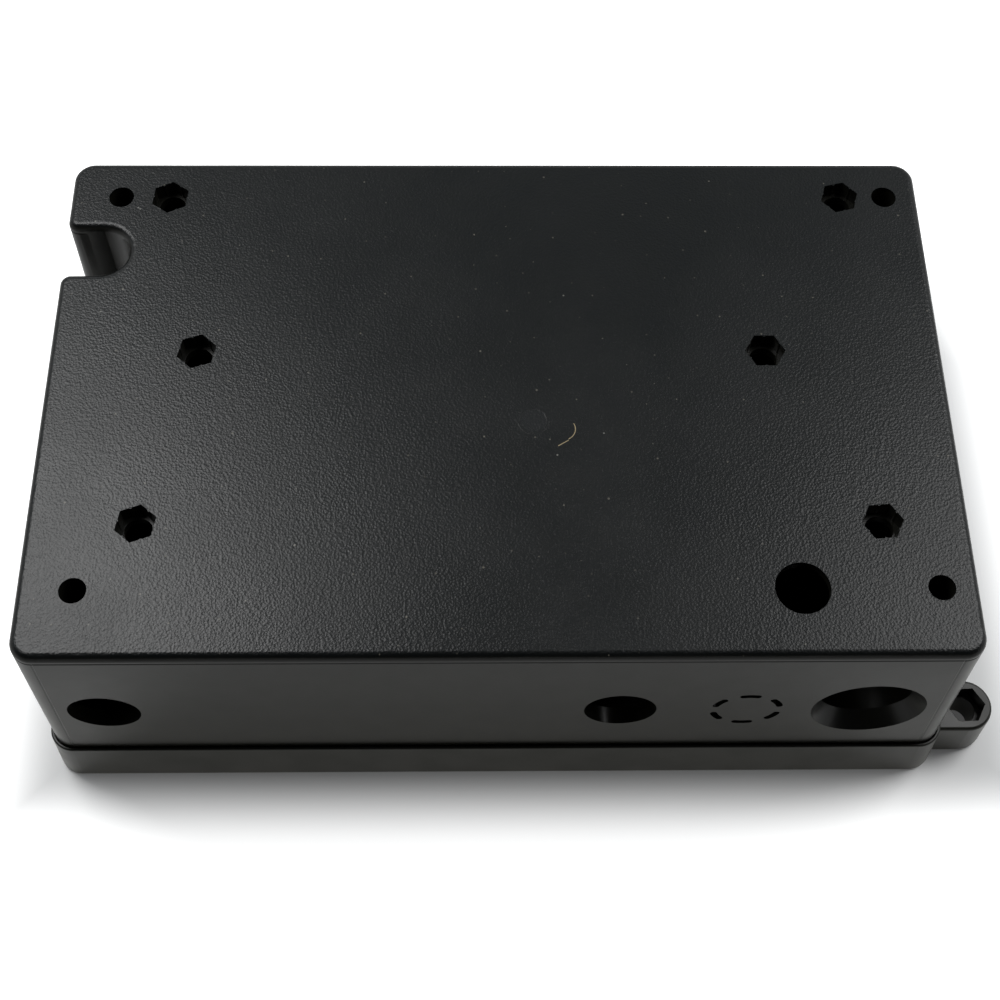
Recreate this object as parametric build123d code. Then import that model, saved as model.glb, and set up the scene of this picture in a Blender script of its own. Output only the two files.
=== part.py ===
from build123d import *
import math
import os

# Inverter housing: a deep moulded shell, closed face up, on a shallow moulded base cover.
# The origin is the middle of the underside of the housing body. X runs along its length,
# Y from the wall with the cable entries to the back, Z up. All sizes are in millimetres.

# Shell body, measured at the closed face
length = 258.4
width = 164.5
height = 82.0
draft_angle = 1.9
corner_radius = 6.2
edge_round = 2.2
wall = 3.0
face_wall = 3.0
inner_corner = 1.0

# Joint between shell and cover
lip_top = 19.0
tongue_depth = 4.5
lip = 1.0
lip_gap = 0.2
lip_round_outside = 0.5
lip_round_inside = 0.3
seal_width = 1.6
seal_height = 1.4
seal_clearance = 0.1

# Base cover
cover_floor = 3.0
cover_draft_angle = 3.0
foot_round = 0.6

# Closing screws in the corners, placed from the edges of the closed face
screw_from_left = 15.3
screw_from_right = 10.3
screw_from_front = 19.8
screw_from_back = 13.4
screw_bore = 7.5
screw_boss = 12.4
screw_seat = 4.0
screw_diameter = 4.0
screw_clearance = 0.5
screw_length = 15.0
screw_head_diameter = 7.0
screw_head_height = 2.8
screw_head_round = 0.9
screw_point = 0.8
pilot_clearance = 0.1
pilot_spare = 1.0
gusset = 2.0

# Nut pockets and the holes under them
nut_across_flats = 10.1
nut_pocket_depth = 5.2
nut_hole = 8.1
nut_boss = 15.6
nut_floor = 2.8
crush_rib_width = 1.0
crush_rib_height = 0.2
nut_lead_in = 0.1

# Where the nut pockets lie; the back row shares the line of the back closing screws
nut_from_left = 30.1
nut_from_right = 23.9
nut_from_front = 39.8
nut_inner_from_left = 42.4
nut_inner_from_right = 51.4
# How each pocket is turned, in degrees from a flat facing +X
turn_back_left = 55.0
turn_back_right = 44.0
turn_front_left = 50.0
turn_front_right = 34.5
turn_inner_left = 48.0
turn_inner_right = 30.0
turn_ear = 32.0
turn_notch = 50.0
nut_sides = 6

# Cable entries in the front wall, and the one in the closed face on the front screws' line
entry_height = 45.7
small_entry = 20.4
small_entry_sleeve = 4.5
large_entry = 32.3
large_entry_sleeve = 6.2
sleeve_wall = 2.5
left_entry_from_left = 18.5
large_entry_from_right = 24.8
knockout_to_large = 34.6
middle_to_knockout = 35.6
face_entry = 15.2
face_entry_from_right = 47.8

# Knockout: a disc held by webs between arc slots
slot_count = 6
slot_ring = 18.7
slot_width = 2.0
slot_angle = 25.0
slot_turn = 30.0

# Access notch at the back left, a U open to the left
notch_from_left = 11.0
notch_from_back = 33.2
notch_radius = 8.45
notch_mouth_radius = 3.0

# Fixing ear of the cover at the front right
ear_beyond_right = 12.5
ear_from_front = 10.6
ear_radius = 7.9
ear_below_lip = 2.5
ear_underside = 1.0
ear_round = 1.0

# How far a cutting shape runs past the face that it opens
overshoot = 1.0
# How near an edge lies to a plane when it is picked for rounding
reading = 0.01

# Worked out from the sizes above
slope = math.tan(math.radians(draft_angle))
cover_slope = math.tan(math.radians(cover_draft_angle))
left = -length / 2
right = length / 2
front = -width / 2
back = width / 2
shell_foot = lip_top - tongue_depth
joint_growth = (height - lip_top) * slope
cover_growth = joint_growth + lip_gap + lip
ear_top = lip_top - ear_below_lip
ear_x = right + ear_beyond_right
ear_y = front + ear_from_front
notch_x = left + notch_from_left
notch_y = back - notch_from_back
front_wall = front - (height - entry_height) * slope
large_entry_x = right - large_entry_from_right
knockout_x = large_entry_x - knockout_to_large
middle_entry_x = knockout_x - middle_to_knockout
entries = [
    (left + left_entry_from_left, small_entry, small_entry_sleeve),
    (middle_entry_x, small_entry, small_entry_sleeve),
    (large_entry_x, large_entry, large_entry_sleeve),
]
screw_seat_height = shell_foot + screw_seat
screw_front_y = front + screw_from_front
screw_back_y = back - screw_from_back
screw_places = [
    (x, y)
    for x in (left + screw_from_left, right - screw_from_right)
    for y in (screw_front_y, screw_back_y)
]
nut_left_x = left + nut_from_left
nut_right_x = right - nut_from_right
nut_front_y = front + nut_from_front
nut_middle_y = (nut_front_y + screw_back_y) / 2
nut_places = [
    (nut_left_x, screw_back_y, turn_back_left),
    (nut_right_x, screw_back_y, turn_back_right),
    (nut_left_x, nut_front_y, turn_front_left),
    (nut_right_x, nut_front_y, turn_front_right),
    (left + nut_inner_from_left, nut_middle_y, turn_inner_left),
    (right - nut_inner_from_right, nut_middle_y, turn_inner_right),
]


def growth(z):
    """How far the drafted outer wall stands outside the closed face's outline at a height."""
    return (height - z) * slope


def rectangle(grown, radius):
    """The closed face's rectangle, carried outwards by grown."""
    return RectangleRounded(length + 2 * grown, width + 2 * grown, radius)


def outline(grown, inset=0.0):
    """The shell's outline with its U notch, carried outwards by the draft and then set in."""
    outwards = grown - inset
    radius = notch_radius - outwards
    reach = notch_x - 2 * left
    channel = Pos(notch_x - reach / 2, notch_y) * Rectangle(reach, 2 * radius)
    eye = Pos(notch_x, notch_y) * Circle(radius)
    shape = rectangle(outwards, max(corner_radius - inset, inner_corner)) - (channel + eye)
    mouth_radius = notch_mouth_radius + outwards
    if mouth_radius > 0:
        side = [v for v in shape.vertices() if v.X < left - outwards + reading]
        mouth = [v for v in side if abs(v.Y - notch_y) < radius + reading]
        shape = fillet(mouth, mouth_radius)
    return shape


def drafted(bottom, top, inset):
    """A solid between two heights whose sides follow the drafted wall, set in from it."""
    lower = Pos(0, 0, bottom) * outline(growth(bottom), inset)
    upper = Pos(0, 0, top) * outline(growth(top), inset)
    return loft([lower, upper], ruled=True)


def upright(x, y, bottom, top, diameter):
    return Pos(x, y, bottom) * extrude(Circle(diameter / 2), top - bottom)


def level(x, y_front, y_back, diameter):
    """A cylinder along Y at the height of the cable entries."""
    start = Plane(origin=(x, y_front, entry_height), x_dir=(1, 0, 0), z_dir=(0, -1, 0))
    return extrude(start * Circle(diameter / 2), y_front - y_back)


def block(bottom, top, inset):
    """The drafted body between two heights, carried straight down into the cover as a tongue."""
    tongue = Pos(0, 0, bottom) * extrude(outline(joint_growth, inset), lip_top - bottom)
    return drafted(lip_top, top, inset) + tongue


def hexagon(across_flats, turn):
    """A hexagon with its first flat turned away from +X."""
    first_corner = turn + 180 / nut_sides
    return RegularPolygon(across_flats / 2, nut_sides, major_radius=False, rotation=first_corner)


def crush_ribs(turn):
    """Round ribs, one in the middle of each flat of a nut pocket."""
    rib_radius = crush_rib_width / 2
    rib_reach = nut_across_flats / 2 - crush_rib_height + rib_radius
    return Rot(0, 0, turn) * PolarLocations(rib_reach, nut_sides) * Circle(rib_radius)


def nut_pocket(x, y, top, turn, ribbed):
    """A hexagonal pocket with the hole under it, plain or with crush ribs."""
    mouth = hexagon(nut_across_flats, turn)
    seat = mouth - crush_ribs(turn) if ribbed else mouth
    socket = extrude(seat, -nut_pocket_depth)
    lead_in = Pos(0, 0, -nut_lead_in) * extrude(mouth, nut_lead_in, taper=-45)
    hole = upright(0, 0, -height, 0, nut_hole)
    return Pos(x, y, top) * (socket + lead_in + hole)


def screw_gussets():
    """Ribs that tie each screw boss to the end wall, and at the back to the back wall too."""
    tall = height - face_wall / 2 - shell_foot
    ribs = []
    for x, y in screw_places:
        to_end = right + joint_growth - abs(x)
        middle = math.copysign(abs(x) + to_end / 2, x)
        ribs.append(Pos(middle, y, shell_foot + tall / 2) * Box(to_end, gusset, tall))
        if y > 0:
            to_back = back + joint_growth - y
            ribs.append(Pos(x, y + to_back / 2, shell_foot + tall / 2) * Box(gusset, to_back, tall))
    return ribs


def shell_bosses():
    """Everything that stands inside the shell, before it is trimmed to the outer form."""
    pocket_foot = height - nut_pocket_depth - nut_floor
    bosses = [upright(x, y, shell_foot, height - face_wall / 2, screw_boss) for x, y in screw_places]
    bosses += [upright(x, y, pocket_foot, height - face_wall / 2, nut_boss) for x, y, _ in nut_places]
    bosses += screw_gussets()
    for x, diameter, sleeve in entries:
        bosses.append(level(x, front_wall, front_wall + sleeve, diameter + 2 * sleeve_wall))
    return bosses


def knockout_slots():
    """Arc slots through the front wall, with webs between them that hold the disc."""
    start_y = front_wall - overshoot
    plane = Plane(origin=(knockout_x, start_y, entry_height), x_dir=(1, 0, 0), z_dir=(0, -1, 0))
    slots = []
    for step in range(slot_count):
        start = slot_turn + step * 360 / slot_count - slot_angle / 2
        arc = CenterArc((0, 0), slot_ring / 2, start, slot_angle)
        slots.append(extrude(plane * SlotArc(arc, slot_width), -wall - 2 * overshoot))
    return slots


def body_shell():
    solid = block(shell_foot, height, 0)
    top_edges = solid.edges().filter_by(lambda edge: edge.center().Z > height - reading)
    solid = fillet(top_edges, edge_round)
    shell = solid - block(shell_foot, height - face_wall, wall)
    for boss in shell_bosses():
        shell += boss & solid
    for x, y in screw_places:
        shell -= upright(x, y, screw_seat_height, height, screw_bore)
        shell -= upright(x, y, shell_foot, screw_seat_height, screw_diameter + screw_clearance)
    for x, y, turn in nut_places:
        shell -= nut_pocket(x, y, height, turn, ribbed=True)
    for x, diameter, sleeve in entries:
        shell -= level(x, front_wall - overshoot, front_wall + sleeve + overshoot, diameter)
    face_entry_foot = height - face_wall - overshoot
    face_entry_x = right - face_entry_from_right
    shell -= upright(face_entry_x, screw_front_y, face_entry_foot, height, face_entry)
    for slot in knockout_slots():
        shell -= slot
    return shell


def ear():
    """The fixing ear: a round end with straight sides that run into the cover."""
    sides = Pos(-ear_beyond_right / 2, 0) * Rectangle(ear_beyond_right, 2 * ear_radius)
    profile = Circle(ear_radius) + sides
    solid = Pos(ear_x, ear_y, ear_top) * extrude(profile, ear_underside - ear_top, taper=-cover_draft_angle)
    upper = solid.edges().filter_by(lambda edge: edge.center().Z > ear_top - reading)
    return fillet(upper.sort_by(Axis.X)[1:], ear_round)


def cover_skirt():
    """The outside of the cover, drafted like the shell, with its rim rounded over."""
    radius = corner_radius + lip_gap + lip
    lower = rectangle(cover_growth + lip_top * cover_slope, radius)
    upper = Pos(0, 0, lip_top) * rectangle(cover_growth, radius)
    skirt = loft([lower, upper], ruled=True)
    foot = skirt.edges().filter_by(lambda edge: edge.center().Z < reading)
    skirt = fillet(foot, foot_round)
    rim = skirt.edges().filter_by(lambda edge: edge.center().Z > lip_top - reading)
    return fillet(rim, lip_round_outside)


def base_cover():
    cover = cover_skirt() + ear()
    recess = rectangle(joint_growth + lip_gap, corner_radius + lip_gap)
    cover -= Pos(0, 0, shell_foot) * extrude(recess, tongue_depth)
    lip_face = cover.faces().sort_by(Axis.Z)[-1]
    cover = fillet(lip_face.inner_wires()[0].edges(), lip_round_inside)
    cover -= Pos(0, 0, cover_floor) * extrude(outline(joint_growth, wall), shell_foot - cover_floor)
    for x, y in screw_places:
        cover += upright(x, y, cover_floor, shell_foot, screw_boss)
        pilot_foot = screw_seat_height - screw_length - pilot_spare
        cover -= upright(x, y, pilot_foot, shell_foot, screw_diameter + pilot_clearance)
    cover -= nut_pocket(ear_x, ear_y, ear_top, turn_ear, ribbed=False)
    cover -= nut_pocket(notch_x, notch_y, shell_foot, turn_notch, ribbed=False)
    groove = seal_ring(seal_width + 2 * seal_clearance)
    return cover - groove


def seal_ring(ring_width):
    """A ring under the middle of the shell's wall, flush with the seat."""
    outer = outline(joint_growth, (wall - ring_width) / 2)
    ring = outer - outline(joint_growth, (wall + ring_width) / 2)
    return Pos(0, 0, shell_foot - seal_height) * extrude(ring, seal_height)


def closing_screw(x, y):
    head = upright(0, 0, 0, screw_head_height, screw_head_diameter)
    head = fillet(head.edges().sort_by(Axis.Z)[-1], screw_head_round)
    shank = upright(0, 0, -screw_length, 0, screw_diameter)
    tip = shank.edges().sort_by(Axis.Z)[0]
    shank = chamfer(tip, screw_point)
    return Pos(x, y, screw_seat_height) * (head + shank)


os.makedirs("parts", exist_ok=True)
export_step(body_shell(), "parts/body_shell.step")
export_step(base_cover(), "parts/base_cover.step")
export_step(seal_ring(seal_width), "parts/seal_cord.step")
screws = [closing_screw(x, y) for x, y in screw_places]
export_step(Compound(children=screws), "parts/closing_screws.step")
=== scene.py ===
# %% [markdown]
# # An inverter housing in black moulded plastic
#
# The object is a deep box that shields the electronics of a small inverter. It lies with its
# closed face up: a moulded shell on a shallow moulded base cover. The face has a fine grain
# that the mould gave it, and the walls are smooth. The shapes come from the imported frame, and
# this lesson gives them their finishes, their small wear and their light.

# %% Load the frame
import math

import bmesh
import bpy
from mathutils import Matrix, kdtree


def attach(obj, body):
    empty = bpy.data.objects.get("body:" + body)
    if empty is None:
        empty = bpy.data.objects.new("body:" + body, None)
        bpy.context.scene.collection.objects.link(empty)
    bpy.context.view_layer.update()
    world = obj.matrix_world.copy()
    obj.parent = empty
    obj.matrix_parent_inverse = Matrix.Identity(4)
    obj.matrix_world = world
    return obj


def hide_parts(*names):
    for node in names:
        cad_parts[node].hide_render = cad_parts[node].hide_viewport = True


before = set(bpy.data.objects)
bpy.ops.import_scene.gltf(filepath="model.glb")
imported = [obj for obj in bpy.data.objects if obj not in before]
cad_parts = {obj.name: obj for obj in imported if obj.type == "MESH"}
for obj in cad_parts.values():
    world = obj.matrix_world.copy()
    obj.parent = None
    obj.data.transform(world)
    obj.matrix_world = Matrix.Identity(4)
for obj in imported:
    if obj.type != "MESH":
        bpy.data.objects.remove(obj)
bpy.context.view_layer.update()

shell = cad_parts["body_shell"]
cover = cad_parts["base_cover"]
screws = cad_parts["closing_screws"]
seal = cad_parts["seal_cord"]

# %% [markdown]
# ## Small helpers for node trees
#
# A material is a little graph. Building it in code is easier to read when adding a node and
# joining two sockets are one short line each, so these helpers come first, with a few that
# turn finished data into an object. Lengths below are written in millimetres and turned into
# metres with MM, because Blender works in metres.

# %% Millimetres, and nodes in one line
MM = 0.001


def add(tree, kind, **settings):
    """A new node of that kind, with its plain settings."""
    node = tree.nodes.new(kind)
    for name, value in settings.items():
        setattr(node, name, value)
    return node


def feed(tree, socket, value):
    """Joins an output to a socket, or sets the socket's own value."""
    if isinstance(value, bpy.types.NodeSocket):
        tree.links.new(value, socket)
    else:
        socket.default_value = value


def maths(tree, operation, *values, clamp=False):
    """A Math node: its output, from numbers or other outputs."""
    node = add(tree, "ShaderNodeMath", operation=operation, use_clamp=clamp)
    for socket, value in zip(node.inputs, values):
        feed(tree, socket, value)
    return node.outputs[0]


def remap(tree, value, low, high, to_low=0.0, to_high=1.0):
    """A smooth step: to_low below low, to_high above high."""
    node = add(tree, "ShaderNodeMapRange", interpolation_type="SMOOTHSTEP")
    for name, number in (("Value", value), ("From Min", low), ("From Max", high),
                         ("To Min", to_low), ("To Max", to_high)):
        feed(tree, node.inputs[name], number)
    return node.outputs[0]


def blend_colour(tree, amount, under, over):
    """The colour under, turned to the colour over by amount."""
    node = add(tree, "ShaderNodeMix", data_type="RGBA")
    feed(tree, node.inputs["Factor"], amount)
    feed(tree, node.inputs[6], under)
    feed(tree, node.inputs[7], over)
    return node.outputs[2]


def noise(tree, place, scale, detail=2.0):
    """A soft random pattern, from 0 to 1."""
    node = add(tree, "ShaderNodeTexNoise")
    feed(tree, node.inputs["Vector"], place)
    feed(tree, node.inputs["Scale"], scale)
    node.inputs["Detail"].default_value = detail
    return node.outputs["Fac"]


def object_place(tree):
    """The object's own coordinates: the vector, and its X, Y and Z."""
    place = add(tree, "ShaderNodeTexCoord").outputs["Object"]
    split = add(tree, "ShaderNodeSeparateXYZ")
    feed(tree, split.inputs[0], place)
    return place, split.outputs


def new_material(name):
    """A material, its node tree and its Principled shader."""
    material = bpy.data.materials.new(name)
    material.use_nodes = True
    return material, material.node_tree, material.node_tree.nodes["Principled BSDF"]


print("helpers ready: add, feed, maths, remap, blend_colour, noise, object_place, new_material")

# %% Objects from finished meshes


def in_scene(data, name):
    """A mesh, a lamp's light or a camera as an object in the scene."""
    data.name = name
    piece = bpy.data.objects.new(name, data)
    bpy.context.scene.collection.objects.link(piece)
    return piece


def as_object(mesh, name):
    """A finished bmesh as an object in the scene."""
    data = bpy.data.meshes.new(name)
    mesh.to_mesh(data)
    mesh.free()
    return in_scene(data, name)


def modified_mesh(holder, name):
    """What an object's modifiers make of it, as a plain mesh object of its own."""
    now = bpy.context.evaluated_depsgraph_get()
    return in_scene(bpy.data.meshes.new_from_object(holder.evaluated_get(now)), name)


print("helpers ready: in_scene, as_object, modified_mesh")

# %% [markdown]
# ## The grain of the closed face
#
# The steel mould for this face was spark-eroded, which leaves a fine leathery pattern of
# rounded pits. It could be real displaced geometry, but the pits are less than a tenth of a
# millimetre deep, so a height that only bends the light is enough. The pattern is a group, so
# that other faces could use it with other sizes.

# %% A shader group for spark-eroded grain
FINE_FINER, CLOUD_COARSER = 1.9, 0.02
PIT_SHARE, FINE_SHARE = 0.75, 0.45


def new_group(name, inputs, outputs):
    """An empty shader group, with float or vector inputs and named outputs."""
    group = bpy.data.node_groups.new(name, "ShaderNodeTree")
    for title, kind, value in inputs:
        socket = group.interface.new_socket(title, in_out="INPUT", socket_type=kind)
        if value is not None:
            socket.default_value = value
    for title, kind in outputs:
        group.interface.new_socket(title, in_out="OUTPUT", socket_type=kind)
    start = add(group, "NodeGroupInput")
    end = add(group, "NodeGroupOutput")
    return group, start.outputs, end.inputs


def eroded_grain():
    """Rounded pits with a finer noise on them as a height, and a slow cloud to vary the sheen."""
    group, given, out = new_group(
        "eroded grain",
        [("Place", "NodeSocketVector", None), ("Pit size", "NodeSocketFloat", 0.7)],
        [("Height", "NodeSocketFloat"), ("Cloud", "NodeSocketFloat")])
    scale = maths(group, "DIVIDE", 1000.0, given["Pit size"])
    pits = add(group, "ShaderNodeTexVoronoi", feature="F1")
    feed(group, pits.inputs["Vector"], given["Place"])
    feed(group, pits.inputs["Scale"], scale)
    fine = noise(group, given["Place"], maths(group, "MULTIPLY", scale, FINE_FINER))
    cloud = noise(group, given["Place"], maths(group, "MULTIPLY", scale, CLOUD_COARSER),
                  detail=3.0)
    height = maths(group, "MULTIPLY_ADD", fine, FINE_SHARE,
                   maths(group, "MULTIPLY", pits.outputs["Distance"], PIT_SHARE))
    feed(group, out["Height"], height)
    feed(group, out["Cloud"], cloud)
    return group


GRAIN = eroded_grain()
print("group:", GRAIN.name, "with", len(GRAIN.nodes), "nodes")

# %% [markdown]
# ## Dust
#
# Pale specks lie on the closed face. Each could be a tiny mesh, but a speck has no height to
# speak of. A flat Voronoi pattern puts one random point in each cell: close to some of these
# points the mask is above 0, and everywhere else it is 0. A second output of the pattern, the
# cell's random colour, makes some specks larger or brighter than others.

# %% A shader group for dust specks
SMALLEST_SPECK = 0.4
FAINT_SPECKS = 1.5


def dust_specks():
    """Small round specks: one in some of the cells of a coarse flat pattern."""
    group, given, out = new_group(
        "dust specks",
        [("Place", "NodeSocketVector", None), ("Spacing", "NodeSocketFloat", 9.0),
         ("Speck", "NodeSocketFloat", 0.03), ("Share", "NodeSocketFloat", 0.3)],
        [("Mask", "NodeSocketFloat")])
    cells = add(group, "ShaderNodeTexVoronoi", feature="F1", voronoi_dimensions="2D")
    feed(group, cells.inputs["Vector"], given["Place"])
    feed(group, cells.inputs["Scale"], maths(group, "DIVIDE", 1000.0, given["Spacing"]))
    parts = add(group, "ShaderNodeSeparateColor")
    feed(group, parts.inputs[0], cells.outputs["Color"])
    size = maths(group, "MULTIPLY", given["Speck"],
                 maths(group, "ADD", parts.outputs[1], SMALLEST_SPECK))
    near = maths(group, "LESS_THAN", cells.outputs["Distance"], size)
    chosen = maths(group, "LESS_THAN", parts.outputs[0], given["Share"])
    bright = maths(group, "POWER", parts.outputs[2], FAINT_SPECKS)
    feed(group, out["Mask"], maths(group, "MULTIPLY", maths(group, "MULTIPLY", near, chosen),
                                   bright))
    return group


DUST = dust_specks()
print("group:", DUST.name, "with", len(DUST.nodes), "nodes")

# %% [markdown]
# ## Where things are on the shell
#
# Several finishes follow the shape: the grain stops at the rounded edge, a small ledge runs
# round the walls where the mould's parts met, and a disc shows where the plastic came in. Each
# place is worked out from the object's own coordinates, so the finish stays with the part.

# %% Places on the shell
TOP = 82.0 * MM
DRAFT = math.tan(math.radians(1.9))
HALF_LENGTH, HALF_WIDTH = 129.2 * MM, 82.25 * MM
CORNER = 6.2 * MM
ENTRY_HEIGHT = 45.7 * MM
LARGE_ENTRY_X = 104.4 * MM
LARGE_ENTRY_RADIUS = 16.15 * MM
GRAIN_STARTS, GRAIN_FULL = 80.9 * MM, 81.7 * MM
GATE_PLACE, GATE_RADIUS = (10.0 * MM, -10.2 * MM), 4.1 * MM
LEDGE_HEIGHT = 79.25 * MM
LEDGE_ABOVE, LEDGE_BELOW = 0.1 * MM, 0.9 * MM
LEDGE_FADES_FROM, LEDGE_FADES_TO = 1.0 * MM, 30.0 * MM
LEDGE_INNER, LEDGE_OUTER = 6.0 * MM, 2.0 * MM


def wall_skin(z):
    """Where the leaning front wall lies, in Y, at a height."""
    return -HALF_WIDTH - (TOP - z) * DRAFT


print("ledge at z =", LEDGE_HEIGHT / MM, "mm, front wall there at y =",
      round(wall_skin(LEDGE_HEIGHT) / MM, 2), "mm")

# %% Masks that follow these places
SEAM_HALF_WIDTH = 0.35 * MM
FRONT_BAND = 1.0 * MM
SOLID_CORE = 0.4


def outside_circle(tree, across, along, centre, radius):
    """How far a point is outside a circle, from its two coordinates, in metres."""
    a = maths(tree, "SUBTRACT", across, centre[0])
    b = maths(tree, "SUBTRACT", along, centre[1])
    far = maths(tree, "SQRT", maths(tree, "ADD", maths(tree, "MULTIPLY", a, a),
                                    maths(tree, "MULTIPLY", b, b)))
    return maths(tree, "SUBTRACT", far, radius)


def near_zero(tree, value, half_width):
    """A soft line: 1 where the value is 0, gone at half_width on both sides."""
    return remap(tree, maths(tree, "ABSOLUTE", value), SOLID_CORE * half_width, half_width,
                 1.0, 0.0)


def mould_ledge(tree, axes):
    """A small step under the rounded edge that fades down the wall, none deep in the notch."""
    from_outside = [maths(tree, "SUBTRACT", maths(tree, "ABSOLUTE", axes[side]), half)
                    for side, half in ((0, HALF_LENGTH), (1, HALF_WIDTH))]
    outer = remap(tree, maths(tree, "MAXIMUM", *from_outside), -LEDGE_INNER, -LEDGE_OUTER)
    step = remap(tree, axes[2], LEDGE_HEIGHT - LEDGE_BELOW, LEDGE_HEIGHT + LEDGE_ABOVE, 1.0, 0.0)
    fades = remap(tree, axes[2], LEDGE_HEIGHT - LEDGE_FADES_TO, LEDGE_HEIGHT - LEDGE_FADES_FROM)
    return maths(tree, "MULTIPLY", maths(tree, "MULTIPLY", step, fades), outer)


def corner_seams(tree, axes):
    """A thin groove down the front wall where each of its corners starts to turn."""
    below = maths(tree, "SUBTRACT", TOP, axes[2])
    edge = maths(tree, "MULTIPLY_ADD", below, DRAFT, HALF_LENGTH - CORNER)
    from_edge = maths(tree, "SUBTRACT", maths(tree, "ABSOLUTE", axes[0]), edge)
    on_front = maths(tree, "LESS_THAN", axes[1], -HALF_WIDTH + FRONT_BAND)
    under_ledge = maths(tree, "LESS_THAN", axes[2], LEDGE_HEIGHT)
    return maths(tree, "MULTIPLY", near_zero(tree, from_edge, SEAM_HALF_WIDTH),
                 maths(tree, "MULTIPLY", on_front, under_ledge))


print("masks ready: outside_circle, near_zero, mould_ledge, corner_seams")

# %% [markdown]
# ## Dirt on the closed face
#
# A curled brown fibre and a few separate specks lie on the face. The fibre is drawn with two
# simple distances: to a circle for its curled end and to a straight line for its tail. Limits
# in X and Y say how far each of the two goes.

# %% The fibre and the single specks
CURL = ((18.05 * MM, -12.95 * MM), 3.75 * MM)
CURL_LEFT, CURL_UPPER = 19.75 * MM, -11.2 * MM
TAIL = ((19.77 * MM, -16.66 * MM), (0.520, -0.854))
TAIL_LEFT, TAIL_RIGHT = 16.8 * MM, 19.8 * MM
FIBRE_HALF_WIDTH = 0.17 * MM
SPECK_SOFTNESS = 0.1 * MM
SINGLE_SPECKS = [(-115.9, 27.0, 0.28), (19.7, 32.5, 0.24), (29.8, -14.4, 0.22),
                 (16.5, -21.4, 0.25), (-120.9, 59.7, 0.30), (-107.8, 64.4, 0.26),
                 (-108.4, 64.9, 0.24)]


def fibre(tree, axes):
    """1 on the fibre: a curl that runs into a straight tail."""
    ring = near_zero(tree, outside_circle(tree, axes[0], axes[1], *CURL), FIBRE_HALF_WIDTH)
    right = maths(tree, "GREATER_THAN", axes[0], CURL_LEFT)
    under = maths(tree, "LESS_THAN", axes[1], CURL_UPPER)
    curl = maths(tree, "MULTIPLY", ring, maths(tree, "MULTIPLY", right, under))
    (x, y), (nx, ny) = TAIL
    off = maths(tree, "ADD", maths(tree, "MULTIPLY", maths(tree, "SUBTRACT", axes[0], x), nx),
                maths(tree, "MULTIPLY", maths(tree, "SUBTRACT", axes[1], y), ny))
    left = maths(tree, "LESS_THAN", axes[0], TAIL_RIGHT)
    end = maths(tree, "GREATER_THAN", axes[0], TAIL_LEFT)
    tail = maths(tree, "MULTIPLY", near_zero(tree, off, FIBRE_HALF_WIDTH),
                 maths(tree, "MULTIPLY", left, end))
    return maths(tree, "MAXIMUM", curl, tail)


def single_specks(tree, axes):
    """1 on the few specks that lie by themselves."""
    mask = 0.0
    for x, y, radius in SINGLE_SPECKS:
        away = outside_circle(tree, axes[0], axes[1], (x * MM, y * MM), radius * MM)
        speck = remap(tree, away, -SPECK_SOFTNESS, SPECK_SOFTNESS, 1.0, 0.0)
        mask = maths(tree, "ADD", mask, speck)
    return mask


print("one fibre and", len(SINGLE_SPECKS), "single specks")

# %% [markdown]
# ## The black plastic of the shell
#
# Glass-filled black plastic is nearly black by itself, and what the eye reads is its sheen.
# The closed face is duller because of its grain. The walls are smooth, with the mould's ledge
# under the rounded edge. A faint disc near the middle is where the plastic was injected. The
# grain is a height for the Bump node, and so are the ledge, the seams at the front corners and
# the rim of the disc. All these heights count in one unit, the Bump node's distance.

# %% Colours of the shell: plastic, gate mark and dirt
WALL_BLACK = (0.0058, 0.0058, 0.0044, 1.0)
FACE_BLACK = (0.0012, 0.0018, 0.0022, 1.0)
MOTTLE_BLACK, MOTTLE_SHARE = (0.0050, 0.0050, 0.0036, 1.0), 0.35
GATE_GREY, GATE_SHARE, GATE_FADE = (0.0060, 0.0068, 0.0074, 1.0), 0.5, 1.0 * MM
DUST_GREY, SPECK_GREY = (0.075, 0.070, 0.058, 1.0), (0.11, 0.11, 0.10, 1.0)
FIBRE_BROWN = (0.22, 0.175, 0.10, 1.0)
DUST_SIZES = {"Spacing": 7.0, "Speck": 0.034, "Share": 0.6}


def dust_mask(tree, place):
    """The dust group's mask, with the sizes of this face."""
    dust = add(tree, "ShaderNodeGroup", node_tree=DUST)
    feed(tree, dust.inputs["Place"], place)
    for title, value in DUST_SIZES.items():
        dust.inputs[title].default_value = value
    return dust.outputs["Mask"]


def shell_colour(tree, on_face, mottle, marks):
    """The plastic's colour and, on the closed face, each mark's colour over it."""
    colour = blend_colour(tree, on_face, WALL_BLACK, FACE_BLACK)
    mottle = maths(tree, "MULTIPLY", mottle, MOTTLE_SHARE)
    colour = blend_colour(tree, mottle, colour, MOTTLE_BLACK)
    for mask, over in marks:
        colour = blend_colour(tree, maths(tree, "MULTIPLY", mask, on_face), colour, over)
    return colour


print("dust on the face: one cell each", DUST_SIZES["Spacing"], "mm, a speck in",
      round(100 * DUST_SIZES["Share"]), "cells of 100")

# %% The shell's material
SHEEN = 0.235
NOISE_RANGE = (0.3, 0.7)
WALL_ROUGHNESS, FACE_ROUGHNESS = (0.28, 0.31), (0.29, 0.34)
FIBRE_ROUGHER = 0.4
PIT_SIZE = 0.7
MOTTLE_SCALE = 120.0
HEIGHT_UNIT = 0.075 * MM
WALL_GRAIN = 0.07
LEDGE_RISE, SEAM_DEPTH = 4.2, 1.47
RIM_RISE, RIM_HALF_WIDTH = 0.4, 0.5 * MM


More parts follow.
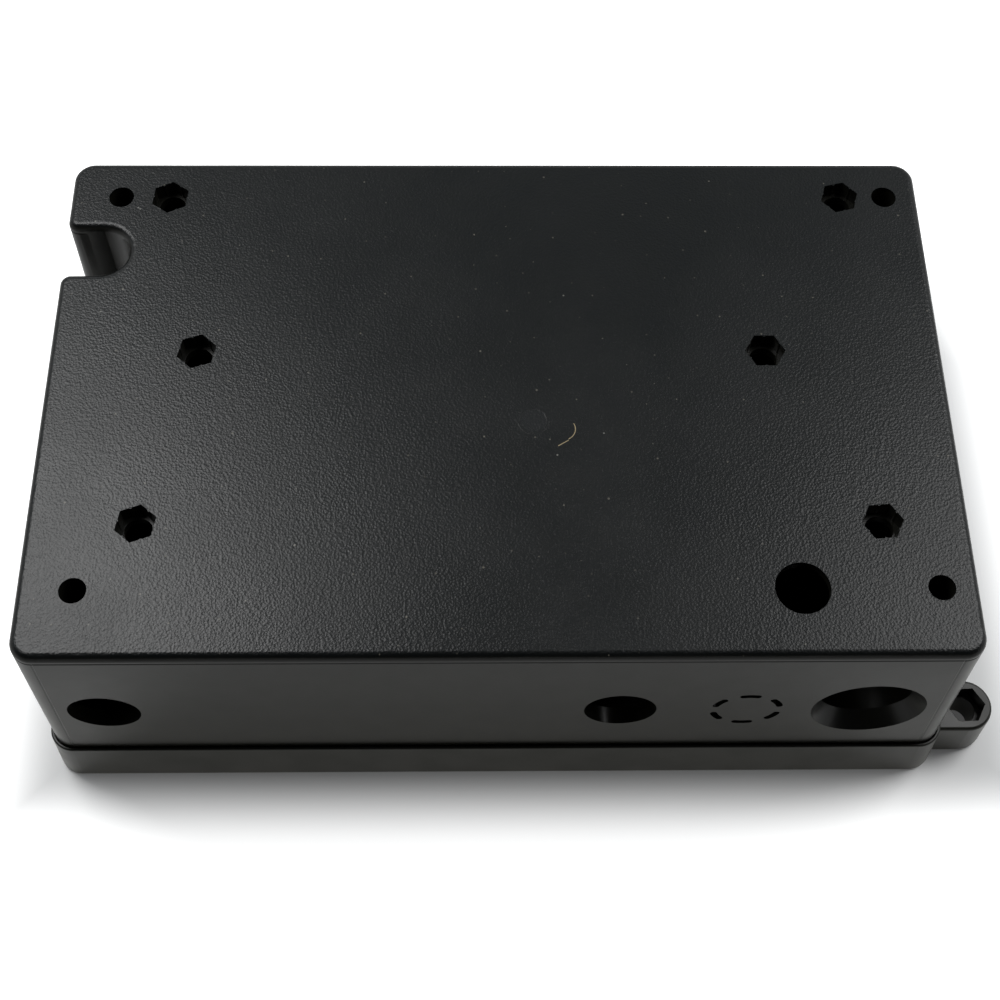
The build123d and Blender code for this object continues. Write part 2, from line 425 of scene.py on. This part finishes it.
def bumped(tree, height, distance, strength=1.0):
    """The surface's direction, bent by a height that counts in distances."""
    bump = add(tree, "ShaderNodeBump")
    bump.inputs["Strength"].default_value = strength
    bump.inputs["Distance"].default_value = distance
    feed(tree, bump.inputs["Height"], height)
    return bump.outputs["Normal"]


def shell_plastic():
    """Black plastic: grained on the closed face, smooth on the walls."""
    material, tree, shader = new_material("black plastic, grained face")
    place, axes = object_place(tree)
    on_face = remap(tree, axes[2], GRAIN_STARTS, GRAIN_FULL)
    mottle = noise(tree, place, MOTTLE_SCALE, detail=4.0)
    grain = add(tree, "ShaderNodeGroup", node_tree=GRAIN)
    feed(tree, grain.inputs["Place"], place)
    grain.inputs["Pit size"].default_value = PIT_SIZE
    gate = outside_circle(tree, axes[0], axes[1], GATE_PLACE, GATE_RADIUS)
    disc = remap(tree, gate, -GATE_FADE, 0.0, GATE_SHARE, 0.0)
    thread = fibre(tree, axes)
    marks = ((disc, GATE_GREY), (dust_mask(tree, place), DUST_GREY),
             (single_specks(tree, axes), SPECK_GREY), (thread, FIBRE_BROWN))
    feed(tree, shader.inputs["Base Color"], shell_colour(tree, on_face, mottle, marks))

    rough = add(tree, "ShaderNodeMix", data_type="FLOAT")
    feed(tree, rough.inputs["Factor"], on_face)
    feed(tree, rough.inputs[2], remap(tree, mottle, *NOISE_RANGE, *WALL_ROUGHNESS))
    feed(tree, rough.inputs[3],
         remap(tree, grain.outputs["Cloud"], *NOISE_RANGE, *FACE_ROUGHNESS))
    feed(tree, shader.inputs["Roughness"],
         maths(tree, "MULTIPLY_ADD", maths(tree, "MULTIPLY", thread, on_face), FIBRE_ROUGHER,
               rough.outputs[0]))

    height = maths(tree, "MULTIPLY", grain.outputs["Height"],
                   maths(tree, "MULTIPLY_ADD", on_face, 1.0 - WALL_GRAIN, WALL_GRAIN))
    rim = maths(tree, "MULTIPLY", near_zero(tree, gate, RIM_HALF_WIDTH), on_face)
    for mask, rise in ((rim, RIM_RISE), (mould_ledge(tree, axes), LEDGE_RISE),
                       (corner_seams(tree, axes), -SEAM_DEPTH)):
        height = maths(tree, "MULTIPLY_ADD", mask, rise, height)
    feed(tree, shader.inputs["Normal"], bumped(tree, height, HEIGHT_UNIT))
    shader.inputs["Specular IOR Level"].default_value = SHEEN
    return material


def dress(piece, material, slot_name):
    """Gives a piece its only material and prints the slot name given for it."""
    piece.data.materials.clear()
    piece.data.materials.append(material)
    print(piece.name, "wears", material.name, "in slot", slot_name)


dress(shell, shell_plastic(), "housing")

# %% [markdown]
# ## The sixth slot of the knockout
#
# Six short slots round a disc leave it held by thin webs, so that it can be pushed out for one
# more cable. The solid has five of them: the cut of the lower right one was lost. A dark mark
# would have no depth, so a Boolean modifier cuts the slot through a copy of the shell. Merging
# the copy's points loses the exact normals of the solid, so each corner takes back the normal
# of the corner that it came from.

# %% The outline of one slot
KNOCKOUT_X = 69.8 * MM
SLOT_RADIUS = 9.35 * MM
SLOT_HALF_WIDTH = 1.0 * MM
SLOT_START, SLOT_STOP = math.radians(-42.5), math.radians(-17.5)
ARC_STEPS = 12


def arc(centre, radius, start, stop):
    """X and Z of points along an arc, without its last point."""
    turns = [start + (stop - start) * step / ARC_STEPS for step in range(ARC_STEPS)]
    return [(centre[0] + radius * math.cos(t), centre[1] + radius * math.sin(t)) for t in turns]


def slot_outline():
    """A slot along the ring, with round ends."""
    middle = (KNOCKOUT_X, ENTRY_HEIGHT)
    start_end, stop_end = (
        (middle[0] + SLOT_RADIUS * math.cos(turn), middle[1] + SLOT_RADIUS * math.sin(turn))
        for turn in (SLOT_START, SLOT_STOP))
    return (arc(middle, SLOT_RADIUS + SLOT_HALF_WIDTH, SLOT_START, SLOT_STOP)
            + arc(stop_end, SLOT_HALF_WIDTH, SLOT_STOP, SLOT_STOP + math.pi)
            + arc(middle, SLOT_RADIUS - SLOT_HALF_WIDTH, SLOT_STOP, SLOT_START)
            + arc(start_end, SLOT_HALF_WIDTH, SLOT_START + math.pi, SLOT_START + 2 * math.pi))


print("slot outline:", len(slot_outline()), "points")

# %% A copy of the shell with the slot cut through its wall
WALL = 3.0 * MM
PAST_THE_WALL = 1.0 * MM
SAME_POINT = 0.0002 * MM
SAME_FACE = 0.97


def slot_cutter():
    """A prism of the slot's outline that passes through the front wall."""
    outside = wall_skin(ENTRY_HEIGHT - SLOT_RADIUS) - PAST_THE_WALL
    inside = wall_skin(ENTRY_HEIGHT) + WALL + PAST_THE_WALL
    mesh = bmesh.new()
    front, back = ([mesh.verts.new((x, y, z)) for x, z in slot_outline()]
                   for y in (outside, inside))
    mesh.faces.new(front)
    mesh.faces.new(back[::-1])
    for step in range(len(front)):
        mesh.faces.new((front[step - 1], front[step], back[step], back[step - 1]))
    bmesh.ops.recalc_face_normals(mesh, faces=mesh.faces)
    return as_object(mesh, "slot cutter")


def cut_copy(node, cutter, name):
    """A merged copy of a node with the cutter's shape taken out, as plain mesh."""
    mesh = bmesh.new()
    mesh.from_mesh(node.data)
    bmesh.ops.remove_doubles(mesh, verts=mesh.verts, dist=SAME_POINT)
    merged = as_object(mesh, "merged copy")
    cut = merged.modifiers.new("cut", "BOOLEAN")
    cut.operation, cut.solver, cut.object = "DIFFERENCE", "EXACT", cutter
    piece = modified_mesh(merged, name)
    for helper in (merged, cutter):
        bpy.data.objects.remove(helper)
    return piece


def take_back_normals(piece, node):
    """Each corner takes the normal of the node's corner at its point and on its face."""
    old = node.data
    corners = kdtree.KDTree(len(old.loops))
    for corner in old.loops:
        corners.insert(old.vertices[corner.vertex_index].co, corner.index)
    corners.balance()
    facing = {corner: face.normal for face in old.polygons for corner in face.loop_indices}
    normals = []
    for face in piece.data.polygons:
        for corner in face.loop_indices:
            point = piece.data.vertices[piece.data.loops[corner].vertex_index].co
            alike = [(facing[i].dot(face.normal), i)
                     for _, i, _ in corners.find_range(point, SAME_POINT)]
            closest = max(alike, default=(0.0, None))
            known = closest[0] > SAME_FACE
            normals.append((old.corner_normals[closest[1]].vector if known
                            else face.normal).copy())
    piece.data.normals_split_custom_set(normals)


six_slots = cut_copy(shell, slot_cutter(), "shell_with_six_slots")
take_back_normals(six_slots, shell)
dress(six_slots, shell.data.materials[0], "housing")
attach(six_slots, "root")
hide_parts("body_shell")
print(len(six_slots.data.polygons) - len(shell.data.polygons), "more faces than the node has")

# %% [markdown]
# ## The plastic of the base cover
#
# The cover came out of another mould in the same plastic. It has no grain, so it shows the
# fine drag marks that a mould leaves along the way the part slides out of it.

# %% The cover's material
COVER_BLACKS = ((0.0100, 0.0100, 0.0078, 1.0), (0.0125, 0.0125, 0.0098, 1.0))
DRAG_STRETCH = (1.0, 1.0, 0.12)
DRAG_SCALE, DRAG_DEPTH, DRAG_STRENGTH = 700.0, 0.02 * MM, 0.4


def cloudy(tree, shader, cloud, colours, roughness):
    """Gives a shader two colours and two roughnesses, mixed by a cloud."""
    feed(tree, shader.inputs["Base Color"], blend_colour(tree, cloud, *colours))
    feed(tree, shader.inputs["Roughness"], remap(tree, cloud, *NOISE_RANGE, *roughness))


def cover_plastic():
    """Smooth black plastic with faint upright drag marks."""
    material, tree, shader = new_material("black plastic, smooth")
    place, _ = object_place(tree)
    cloudy(tree, shader, noise(tree, place, 60.0), COVER_BLACKS, (0.30, 0.38))
    stretch = add(tree, "ShaderNodeMapping")
    feed(tree, stretch.inputs["Vector"], place)
    stretch.inputs["Scale"].default_value = DRAG_STRETCH
    drag = noise(tree, stretch.outputs["Vector"], DRAG_SCALE, detail=3.0)
    feed(tree, shader.inputs["Normal"], bumped(tree, drag, DRAG_DEPTH, DRAG_STRENGTH))
    shader.inputs["Specular IOR Level"].default_value = SHEEN
    return material


dress(cover, cover_plastic(), "housing")

# %% [markdown]
# ## The tapered mouth of the large entry
#
# The largest hole narrows inwards like a short funnel and goes on as a tube, which widens a
# little, as the mould's core needs. The solid has a straight bore there, so the funnel is a
# ring of its own that fills the bore's mouth. Its front edge lies on the leaning front wall,
# which a flat ring would miss, so the ring is built point by point: each point of the front
# edge takes its Y from its own height.

# %% A ring that follows the leaning wall
FUNNEL_DEPTH = 4.7 * MM
FUNNEL_INSIDE = 12.9 * MM
TUBE_DEPTH = 11.5 * MM
TUBE_END = 13.8 * MM
TUBE_WALL = 1.3 * MM
FUNNEL_STEPS = 96
BORE_SLACK = 0.05 * MM
SKIN_SLACK = 0.03 * MM
SHARP = math.radians(25)


def funnel():
    """A ring with a tapered inside and a tube behind it, closed all round."""
    outside = LARGE_ENTRY_RADIUS - BORE_SLACK
    back_y = wall_skin(ENTRY_HEIGHT) + FUNNEL_DEPTH
    tube_y = wall_skin(ENTRY_HEIGHT) + TUBE_DEPTH
    tube_outside = TUBE_END + TUBE_WALL
    mesh = bmesh.new()
    rings = []
    for step in range(FUNNEL_STEPS):
        turn = 2 * math.pi * step / FUNNEL_STEPS
        across, up = math.cos(turn), math.sin(turn)
        lip_z = ENTRY_HEIGHT + outside * up
        section = [(outside, wall_skin(lip_z) + SKIN_SLACK), (FUNNEL_INSIDE, back_y),
                   (TUBE_END, tube_y), (tube_outside, tube_y), (tube_outside, back_y),
                   (outside, back_y)]
        rings.append([mesh.verts.new((LARGE_ENTRY_X + r * across, y, ENTRY_HEIGHT + r * up))
                      for r, y in section])
    for here, after in zip(rings, rings[1:] + rings[:1]):
        for side in range(len(here)):
            corners = (here[side - 1], here[side], after[side], after[side - 1])
            mesh.faces.new(corners).smooth = True
    bmesh.ops.recalc_face_normals(mesh, faces=mesh.faces)
    for edge in mesh.edges:
        edge.smooth = edge.calc_face_angle() < SHARP
    return as_object(mesh, "large_entry_funnel")


ring = funnel()
dress(ring, shell.data.materials[0], "housing")
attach(ring, "root")
print(len(ring.data.polygons), "faces, from radius", round(LARGE_ENTRY_RADIUS / MM, 2), "to",
      round(FUNNEL_INSIDE / MM, 2), "mm")

# %% [markdown]
# ## Finishes of the screws and the seal
#
# The closing screws are plated steel with a bluish grey zinc skin. The seal is a soft rubber
# cord that shows only as a dark edge when the cover is off.

# %% Zinc plate and rubber


def zinc_plate():
    """Plated steel: bright and a little cloudy."""
    material, tree, shader = new_material("zinc plated steel")
    place, _ = object_place(tree)
    cloudy(tree, shader, noise(tree, place, 900.0),
           ((0.42, 0.44, 0.47, 1.0), (0.62, 0.63, 0.64, 1.0)), (0.25, 0.42))
    shader.inputs["Metallic"].default_value = 1.0
    return material


def seal_rubber():
    """Soft black rubber with a dull skin."""
    material, tree, shader = new_material("black rubber")
    place, _ = object_place(tree)
    cloudy(tree, shader, noise(tree, place, 1500.0),
           ((0.010, 0.010, 0.010, 1.0), (0.022, 0.021, 0.020, 1.0)), (0.62, 0.80))
    return material


ZINC = zinc_plate()
dress(seal, seal_rubber(), "seal")

# %% [markdown]
# ## One closing screw
#
# Four screws deep in the corner wells hold the cover. The photograph doesn't reach their
# heads, so they get what such screws have: a pan head with a cross recess and a thread that
# cuts its own way into plastic. One screw is built as a skin of rings round its axis. The
# recess lowers the points of the top that lie in the cross, and the thread moves each ring's
# points in and out by their angle, which makes one long helix.

# %% One screw, standing on its seat at the origin
SCREW_SEGMENTS = 48
HEAD = [(3.45, 0.05), (3.5, 0.3), (3.5, 1.6), (3.3, 2.1), (2.9, 2.5), (2.3, 2.75)]
HEAD_FOOT, HEAD_HEIGHT = 0.05, 2.8
HEAD_TOP = [1.9, 1.6, 1.3, 1.0, 0.8, 0.6, 0.4, 0.2]
RECESS_HALF_WIDTH, RECESS_REACH, RECESS_DEPTH = 0.42, 1.75, 1.3
THREAD_OUTSIDE, THREAD_INSIDE, THREAD_PITCH, THREAD_FLANK = 1.97, 1.45, 1.5, 0.32
SHANK_TOP, SHANK_FOOT, POINT_STARTS, POINT_RADIUS = -0.3, -14.9, -13.9, 0.9
SHANK_RINGS = 90


def on_circle(radius, turn):
    """X and Y of a point at a radius and an angle, from 0 to 1 round the axis."""
    return radius * math.cos(2 * math.pi * turn), radius * math.sin(2 * math.pi * turn)


def recess(x, y):
    """How deep the cross recess is at a point of the head's top."""
    in_cross = min(abs(x), abs(y)) < RECESS_HALF_WIDTH
    far = max(abs(x), abs(y)) / RECESS_REACH
    return RECESS_DEPTH * (1.0 - far * far) if in_cross and far < 1.0 else 0.0


def thread_radius(z, turn):
    """The thread's radius at a height and an angle, from 0 to 1 round the axis."""
    phase = (z / THREAD_PITCH - turn) % 1.0
    ridge = max(0.0, 1.0 - abs(phase - 0.5) / THREAD_FLANK)
    point = min(1.0, (z - SHANK_FOOT) / (POINT_STARTS - SHANK_FOOT))
    full = THREAD_INSIDE + (THREAD_OUTSIDE - THREAD_INSIDE) * ridge
    return POINT_RADIUS + (full - POINT_RADIUS) * point


def screw_rings():
    """Every ring of the screw, from its point to the middle of its head: radius and Z in mm."""
    rings = []
    turns = [step / SCREW_SEGMENTS for step in range(SCREW_SEGMENTS)]
    for step in range(SHANK_RINGS + 1):
        z = SHANK_FOOT + (SHANK_TOP - SHANK_FOOT) * step / SHANK_RINGS
        rings.append([(thread_radius(z, turn), z) for turn in turns])
    rings.append([(THREAD_INSIDE, HEAD_FOOT)] * SCREW_SEGMENTS)
    rings += [[level] * SCREW_SEGMENTS for level in HEAD]
    for radius in HEAD_TOP:
        rings.append([(radius, HEAD_HEIGHT - recess(*on_circle(radius, turn)))
                      for turn in turns])
    return rings


def one_screw():
    """The screw as one closed skin."""
    mesh = bmesh.new()
    skin = []
    for ring_of_points in screw_rings():
        places = [(*on_circle(radius, step / SCREW_SEGMENTS), z)
                  for step, (radius, z) in enumerate(ring_of_points)]
        skin.append([mesh.verts.new([v * MM for v in place]) for place in places])
    for low, high in zip(skin, skin[1:]):
        for step in range(SCREW_SEGMENTS):
            mesh.faces.new((low[step - 1], low[step], high[step], high[step - 1]))
    mesh.faces.new(skin[0][::-1])
    mesh.faces.new(skin[-1])
    for face in mesh.faces:
        face.smooth = len(face.verts) == 4
    bmesh.ops.recalc_face_normals(mesh, faces=mesh.faces)
    for edge in mesh.edges:
        edge.smooth = edge.calc_face_angle() < SHARP
    return as_object(mesh, "screw pattern")


pattern = one_screw()
print("one screw:", len(pattern.data.polygons), "faces")

# %% [markdown]
# ## Four screws in their wells
#
# The four screws are one shape repeated, which is work for Geometry Nodes. The tree lays a
# grid with a point at each screw, puts the screw there as an instance, makes real mesh of the
# instances and gives it the zinc finish. The grid's sizes are inputs with names, so the same
# tree would serve another housing.

# %% A tree that repeats the screw on a grid


def screw_grid():
    """A node tree: two by two screws with named spacings."""
    tree = bpy.data.node_groups.new("screws on a grid", "GeometryNodeTree")
    sockets = {}
    for title, kind in (("Spacing X", "NodeSocketFloat"), ("Spacing Y", "NodeSocketFloat"),
                        ("Middle", "NodeSocketVector"), ("Screw", "NodeSocketObject"),
                        ("Finish", "NodeSocketMaterial")):
        socket = tree.interface.new_socket(title, in_out="INPUT", socket_type=kind)
        sockets[title] = socket.identifier
    tree.interface.new_socket("Screws", in_out="OUTPUT", socket_type="NodeSocketGeometry")
    given = add(tree, "NodeGroupInput").outputs
    grid = add(tree, "GeometryNodeMeshGrid")
    grid.inputs["Vertices X"].default_value = 2
    grid.inputs["Vertices Y"].default_value = 2
    feed(tree, grid.inputs["Size X"], given["Spacing X"])
    feed(tree, grid.inputs["Size Y"], given["Spacing Y"])
    moved = add(tree, "GeometryNodeTransform")
    feed(tree, moved.inputs["Geometry"], grid.outputs["Mesh"])
    feed(tree, moved.inputs["Translation"], given["Middle"])
    shape = add(tree, "GeometryNodeObjectInfo")
    feed(tree, shape.inputs["Object"], given["Screw"])
    placed = add(tree, "GeometryNodeInstanceOnPoints")
    feed(tree, placed.inputs["Points"], moved.outputs["Geometry"])
    feed(tree, placed.inputs["Instance"], shape.outputs["Geometry"])
    real = add(tree, "GeometryNodeRealizeInstances")
    feed(tree, real.inputs["Geometry"], placed.outputs["Instances"])
    finish = add(tree, "GeometryNodeSetMaterial")
    feed(tree, finish.inputs["Geometry"], real.outputs["Geometry"])
    feed(tree, finish.inputs["Material"], given["Finish"])
    feed(tree, add(tree, "NodeGroupOutput").inputs["Screws"], finish.outputs["Geometry"])
    return tree, sockets


SCREW_SPACING = (232.8 * MM, 131.3 * MM)
SCREW_MIDDLE = (2.5 * MM, 3.2 * MM, 18.5 * MM)
tree, sockets = screw_grid()
carrier = in_scene(bpy.data.meshes.new("screw carrier"), "screw carrier")
repeat = carrier.modifiers.new("screws", "NODES")
repeat.node_group = tree
for title, value in (("Spacing X", SCREW_SPACING[0]), ("Spacing Y", SCREW_SPACING[1]),
                     ("Middle", SCREW_MIDDLE), ("Screw", pattern), ("Finish", ZINC)):
    repeat[sockets[title]] = value
print("screws at", [round(side / MM, 1) for side in SCREW_SPACING], "mm from each other")

# %% The tree's result as a plain mesh
threaded = modified_mesh(carrier, "threaded_closing_screws")
for helper in (carrier, pattern):
    bpy.data.objects.remove(helper)
dress(threaded, ZINC, "screws")
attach(threaded, "root")
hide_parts("closing_screws")
print(threaded.name, "has", len(threaded.data.polygons), "faces")

# %% [markdown]
# ## Floor, room and lamps
#
# The housing stands on a plain white table. Black plastic shows its surroundings, so the room
# matters as much as the lamps: pale near the horizon, grey overhead and dark behind the
# camera. Two soft lamps at the left and the right give the sheen at both ends of the face.

# %% A white floor with painted light and a painted reflection; it keeps the shadow only near the foot
FOOT_MIDDLE_X = 9.0 * MM
FOOT_HALF_LENGTH, FOOT_HALF_WIDTH = 143.0 * MM, 86.0 * MM
# In each row of four, the value goes from the third to the fourth while the distance outside
# the foot goes from the first to the second.
# Painted light: the glow that the camera sees on the floor. It is weak at the foot and strong
# further out, where it hides the shadow.
PAINTED_LIGHT_NEAR = (-2.0 * MM, 24.0 * MM, 0.04, 0.80)
PAINTED_LIGHT_FAR = (150.0 * MM, 900.0 * MM, 0.0, 0.3)
# Painted reflection: the glow that shiny surfaces see on the floor. It is weak under the housing,
# strongest near the foot and fades further out.
PAINTED_REFLECTION_UNDER = (-8.0 * MM, 1.0 * MM, 0.2, 1.0)
PAINTED_REFLECTION_FAR = (10.0 * MM, 45.0 * MM, 0.235, 0.065)
WHITE, PAINTED_REFLECTION_WARM = (1.0, 1.0, 1.0, 1.0), (1.0, 0.99, 0.91, 1.0)
TABLE_GREY, TABLE_SIZE, TABLE_DROP = (0.75, 0.75, 0.75, 1.0), 12.0, 0.1 * MM


def white_table():
    """White, with painted light: the camera sees a glow that grows away from the housing's foot
    and hides the shadow there. Shiny surfaces see a painted reflection, strongest near the foot
    and weak under the housing.
    """
    material, tree, shader = new_material("white table")
    shader.inputs["Base Color"].default_value = TABLE_GREY
    shader.inputs["Roughness"].default_value = 0.9
    shader.inputs["Specular IOR Level"].default_value = 0.0
    _, axes = object_place(tree)
    beside = maths(tree, "SUBTRACT", axes[0], FOOT_MIDDLE_X)
    past_end = maths(tree, "SUBTRACT", maths(tree, "ABSOLUTE", beside), FOOT_HALF_LENGTH)
    past_side = maths(tree, "SUBTRACT", maths(tree, "ABSOLUTE", axes[1]), FOOT_HALF_WIDTH)
    away = maths(tree, "MAXIMUM", past_end, past_side)
    rays = add(tree, "ShaderNodeLightPath").outputs
    # Painted light and painted reflection: the floor glows by its distance from the housing's
    # foot.
    painted_light_lift = maths(tree, "ADD", remap(tree, away, *PAINTED_LIGHT_NEAR), remap(tree, away, *PAINTED_LIGHT_FAR))
    camera_painted_light = maths(tree, "MULTIPLY", rays["Is Camera Ray"], painted_light_lift)
    shiny = maths(tree, "MAXIMUM", rays["Is Glossy Ray"], rays["Is Transmission Ray"])
    painted_reflection = maths(tree, "MULTIPLY", shiny,
                     maths(tree, "MULTIPLY", remap(tree, away, *PAINTED_REFLECTION_UNDER),
                           remap(tree, away, *PAINTED_REFLECTION_FAR)))
    feed(tree, shader.inputs["Emission Color"],
         blend_colour(tree, rays["Is Camera Ray"], PAINTED_REFLECTION_WARM, WHITE))
    feed(tree, shader.inputs["Emission Strength"], maths(tree, "ADD", camera_painted_light, painted_reflection))
    return material


bpy.ops.mesh.primitive_plane_add(size=TABLE_SIZE, location=(0.0, 0.0, -TABLE_DROP))
table = bpy.context.object
table.name = "white_table"
table.data.materials.append(white_table())
print("table laid at z =", round(table.location.z / MM, 2), "mm")

# %% The room
COOL = (0.95, 1.03, 1.06)
NEUTRAL = (1.0, 1.0, 1.0)
# Parts of the view's direction, from -1 to 1: its Y and its Z, between which one grey turns
# to the next, and the height of the pale band, 0.12 in front and 0.55 at the back.
FRONT_TO_BACK = (-0.25, 0.25)
BACK_TO_TOP = (0.74, 0.92)
PALE_BAND_HEIGHT = (-0.75, -0.10, 0.12, 0.55)
PALE_BAND_FADES = (0.25, 1.0, 1.0, 0.0)


def tinted(grey, tint):
    """A grey with a tint, as a colour."""
    return (*(grey * part for part in tint), 1.0)


def room(horizon, back, top, front):
    """A sky: pale at the horizon, grey behind the housing and above, dark round the camera."""
    world = bpy.data.worlds.new("studio room")
    bpy.context.scene.world = world
    world.use_nodes = True
    tree = world.node_tree
    split = add(tree, "ShaderNodeSeparateXYZ")
    feed(tree, split.inputs[0], add(tree, "ShaderNodeTexCoord").outputs["Generated"])
    towards_back, up = split.outputs[1], split.outputs[2]
    behind = blend_colour(tree, remap(tree, up, *BACK_TO_TOP), tinted(back, COOL),
                          tinted(top, COOL))
    overhead = blend_colour(tree, remap(tree, towards_back, *FRONT_TO_BACK),
                            tinted(front, NEUTRAL), behind)
    band = remap(tree, towards_back, *PALE_BAND_HEIGHT)
    low = remap(tree, maths(tree, "DIVIDE", up, band), *PALE_BAND_FADES)
    sky = blend_colour(tree, low, overhead, tinted(horizon, NEUTRAL))
    feed(tree, tree.nodes["Background"].inputs["Color"], sky)
    tree.nodes["Background"].inputs["Strength"].default_value = 1.0
    print("room: horizon", horizon, "back", back, "top", top, "front", front)


room(horizon=1.0, back=0.61, top=0.255, front=0.035)

# %% Two soft lamps


def soft_lamp(name, towards, distance, size, power):
    """A rectangular lamp that looks at the middle of the housing."""
    light = bpy.data.lights.new(name, "AREA")
    light.shape = "RECTANGLE"
    light.size, light.size_y = size
    light.energy = power
    lamp = in_scene(light, name)
    length = math.sqrt(sum(v * v for v in towards))
    lamp.location = [v / length * distance for v in towards]
    lamp.rotation_mode = "QUATERNION"
    lamp.rotation_quaternion = lamp.location.to_track_quat("Z", "Y")
    print(name, "at", [round(v, 2) for v in lamp.location], "m with", power, "W")


soft_lamp("left lamp", (-0.32, 0.21, 0.66), 0.76, (0.26, 0.36), 3.35)
soft_lamp("right lamp", (0.46, 0.17, 0.66), 0.82, (0.30, 0.40), 3.2)

# %% [markdown]
# ## The camera
#
# The picture was taken from above the long front wall with a slight left turn. The place and
# the focal length were fitted to the housing's corners, so the outlines fall on each other.

# %% Camera
camera_data = bpy.data.cameras.new("camera")
camera_data.sensor_width, camera_data.lens = 36.0, 57.454
camera_data.clip_start = 10.0 * MM
camera = in_scene(camera_data, "camera")
camera.location = (-0.006366, -0.239095, 0.471224)
camera.rotation_euler = (0.4819, -0.0122, -0.0095)
bpy.context.scene.camera = camera
bpy.context.scene.view_settings.view_transform = "Standard"
print("camera at", [round(v / MM, 1) for v in camera.location], "mm, lens", camera_data.lens)
